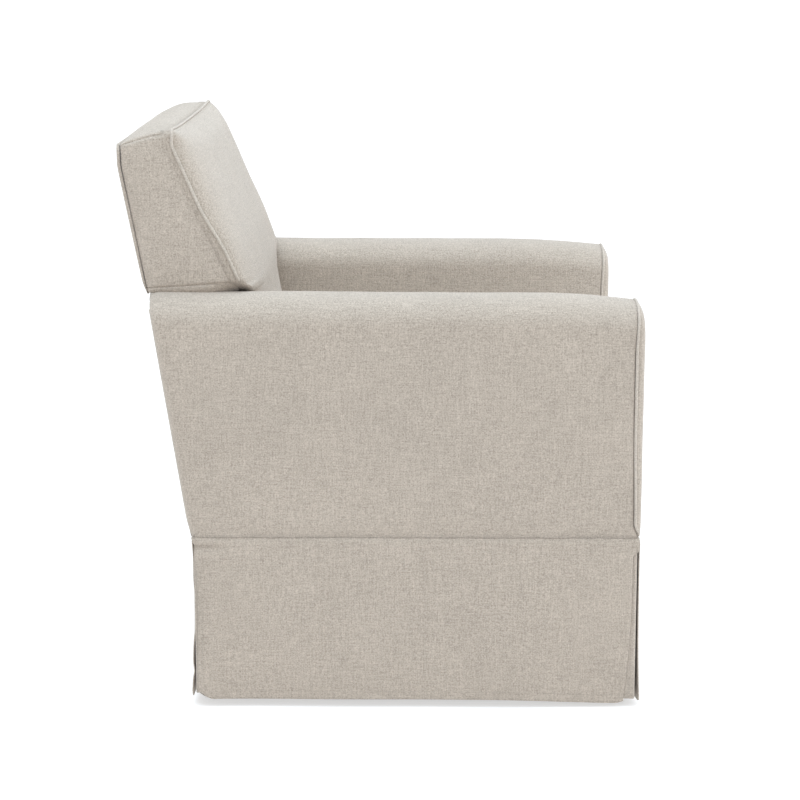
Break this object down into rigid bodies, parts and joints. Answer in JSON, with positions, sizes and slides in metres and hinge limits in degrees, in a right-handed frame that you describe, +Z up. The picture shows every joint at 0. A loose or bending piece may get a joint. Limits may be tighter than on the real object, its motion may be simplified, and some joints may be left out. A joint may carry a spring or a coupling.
{
  "type": "glider nursery chair",
  "caption": "Upholstered nursery armchair with a skirt that glides on swing links and turns on a hidden ring base.",
  "frame": {"origin": "on the floor under the centre of the chair's bounding box", "axes": "+Z up; the chair faces -Y; the sitter's right hand is at -X"},
  "size_m": [0.76, 0.792, 0.891],
  "materials": {
    "linen": "matte",
    "foam": "matte",
    "webbing": "matte",
    "dust_cloth": "matte",
    "frame_wood": "satin",
    "enamel_steel": "satin",
    "zinc_steel": "satin",
    "foot_rubber": "matte"
  },
  "bodies": {
    "base": {"base_ring": "enamel_steel", "base_cross": "enamel_steel", "base_foot_1": "foot_rubber", "base_foot_2": "foot_rubber", "base_foot_3": "foot_rubber", "base_foot_4": "foot_rubber", "swivel_lower_race": "zinc_steel", "swivel_spindle": "zinc_steel"},
    "swivel_carrier": {"swivel_upper_race": "zinc_steel", "swivel_plate": "enamel_steel", "left_tower": "enamel_steel", "right_tower": "enamel_steel"},
    "front_left_link": {"front_left_link": "zinc_steel"},
    "front_right_link": {"front_right_link": "zinc_steel"},
    "rear_left_link": {"rear_left_link": "zinc_steel"},
    "rear_right_link": {"rear_right_link": "zinc_steel"},
    "seat": {"back_box": "linen", "back_front_pad": "linen", "back_seat_rail": "frame_wood", "back_top_rail": "frame_wood", "back_webbing_1": "webbing", "back_webbing_2": "webbing", "dust_cover": "dust_cloth", "front_border": "linen", "front_left_pleat": "linen", "front_lower_shaft": "zinc_steel", "front_right_pleat": "linen", "front_seat_rail": "frame_wood", "front_skirt": "linen", "left_arm_cover": "linen", "left_arm_facing": "linen", "left_arm_pad": "foam", "left_arm_rail": "frame_wood", "left_back_post": "frame_wood", "left_front_arm_post": "frame_wood", "left_hanger": "enamel_steel", "left_rear_arm_post": "frame_wood", "left_seat_rail": "frame_wood", "left_skirt": "linen", "outer_back_panel": "linen", "rear_left_pleat": "linen", "rear_lower_shaft": "zinc_steel", "rear_right_pleat": "linen", "rear_skirt": "linen", "right_arm_cover": "linen", "right_arm_facing": "linen", "right_arm_pad": "foam", "right_arm_rail": "frame_wood", "right_back_post": "frame_wood", "right_front_arm_post": "frame_wood", "right_hanger": "enamel_steel", "right_rear_arm_post": "frame_wood", "right_seat_rail": "frame_wood", "right_skirt": "linen", "seat_deck": "linen", "seat_spring_1": "zinc_steel", "seat_spring_2": "zinc_steel", "seat_spring_3": "zinc_steel", "seat_spring_4": "zinc_steel"},
    "cushion": {"seat_cushion": "linen"}
  },
  "joints": [
    {"name": "swivel", "type": "hinge", "parent": "base", "child": "swivel_carrier", "pos_m": [0, -0.047, 0.05], "axis": [0, 0, 1], "continuous": true},
    {"name": "glide", "type": "hinge", "parent": "swivel_carrier", "child": "rear_right_link", "pos_m": [-0.2175, 0.083, 0.19], "axis": [1, 0, 0], "range_deg": [-28, 28]},
    {"name": "front_left_link_swing", "type": "hinge", "parent": "swivel_carrier", "child": "front_left_link", "pos_m": [0.2175, -0.177, 0.19], "axis": [1, 0, 0], "range_deg": [-28, 28]},
    {"name": "front_right_link_swing", "type": "hinge", "parent": "swivel_carrier", "child": "front_right_link", "pos_m": [-0.2175, -0.177, 0.19], "axis": [1, 0, 0], "range_deg": [-28, 28]},
    {"name": "rear_left_link_swing", "type": "hinge", "parent": "swivel_carrier", "child": "rear_left_link", "pos_m": [0.2175, 0.083, 0.19], "axis": [1, 0, 0], "range_deg": [-28, 28]},
    {"name": "seat_level", "type": "hinge", "parent": "rear_right_link", "child": "seat", "pos_m": [-0.2175, 0.083, 0.08], "axis": [1, 0, 0], "range_deg": [-28, 28]},
    {"name": "cushion_lift", "type": "slide", "parent": "seat", "child": "cushion", "axis": [0, 0, 1], "range_m": [0, 0.25]}
  ],
  "couplings": [
    {"joint": "front_left_link_swing", "follows": "glide", "ratio": 1},
    {"joint": "front_right_link_swing", "follows": "glide", "ratio": 1},
    {"joint": "rear_left_link_swing", "follows": "glide", "ratio": 1},
    {"joint": "seat_level", "follows": "glide", "ratio": -1}
  ]
}
